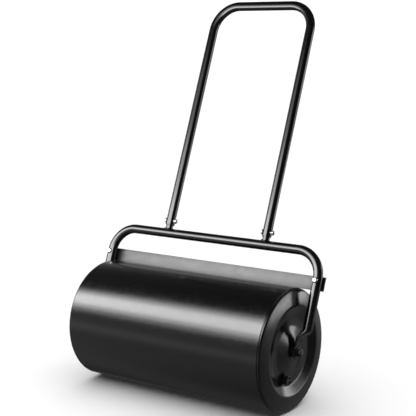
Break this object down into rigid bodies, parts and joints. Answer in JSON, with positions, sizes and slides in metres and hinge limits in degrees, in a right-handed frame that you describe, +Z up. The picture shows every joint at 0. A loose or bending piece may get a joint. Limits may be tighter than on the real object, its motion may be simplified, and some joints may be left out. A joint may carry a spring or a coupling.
{
  "type": "lawn roller",
  "caption": "Walk-behind lawn roller: a hollow steel drum for water ballast turns in a bent tube yoke with a scraper strip, and a tall tube push handle is bolted on top.",
  "frame": {"origin": "on the ground, at the middle of the roller's width and of its depth from the drum's front to the handle's top bar", "axes": "+X along the drum's axle towards the end with the filler plug, +Y from the drum's front towards the person holding the handle, +Z up"},
  "size_m": [0.705, 0.526, 1.0427],
  "materials": {
    "gloss_powder_coated_steel": "gloss black",
    "zinc_plated_steel": "bright zinc",
    "mild_steel": "bare, as rolled",
    "nylon": "moulded black",
    "sealing_rubber": "matt black"
  },
  "bodies": {
    "frame": {"yoke_tube": "gloss_powder_coated_steel", "spigot_right": "gloss_powder_coated_steel", "spigot_left": "gloss_powder_coated_steel", "handle_tube": "gloss_powder_coated_steel", "handle_bolt_right": "zinc_plated_steel", "handle_bolt_left": "zinc_plated_steel", "handle_washer_right": "zinc_plated_steel", "handle_washer_left": "zinc_plated_steel", "handle_nut_right": "zinc_plated_steel", "handle_nut_left": "zinc_plated_steel", "scraper_plate": "gloss_powder_coated_steel", "scraper_bolt_right": "zinc_plated_steel", "scraper_bolt_left": "zinc_plated_steel", "scraper_washer_right": "zinc_plated_steel", "scraper_washer_left": "zinc_plated_steel", "scraper_nut_right": "zinc_plated_steel", "scraper_nut_left": "zinc_plated_steel", "axle_rod": "mild_steel", "axle_inner_washer_right": "gloss_powder_coated_steel", "axle_inner_washer_left": "gloss_powder_coated_steel", "axle_outer_washer_right": "gloss_powder_coated_steel", "axle_outer_washer_left": "gloss_powder_coated_steel", "axle_nut_right": "gloss_powder_coated_steel", "axle_nut_left": "gloss_powder_coated_steel"},
    "drum": {"drum_shell": "gloss_powder_coated_steel", "end_cap_right": "gloss_powder_coated_steel", "end_cap_left": "gloss_powder_coated_steel", "axle_sleeve": "mild_steel", "axle_bush_right": "nylon", "axle_bush_left": "nylon", "filler_neck": "mild_steel"},
    "seal": {"plug_seal": "sealing_rubber"},
    "plug": {"filler_plug": "nylon"}
  },
  "joints": [
    {"name": "drum_spin", "type": "hinge", "parent": "frame", "child": "drum", "pos_m": [0, -0.10303, 0.16], "axis": [1, 0, 0], "continuous": true},
    {"name": "plug_travel", "type": "slide", "parent": "drum", "child": "seal", "axis": [1, 0, 0], "range_m": [0, 0.009]},
    {"name": "plug_turn", "type": "hinge", "parent": "seal", "child": "plug", "pos_m": [0.31, -0.12793, 0.0899], "axis": [1, 0, 0], "range_deg": [0, 1080]}
  ],
  "couplings": [
    {"joint": "plug_turn", "follows": "plug_travel", "rad_per_m": 2094.4}
  ]
}
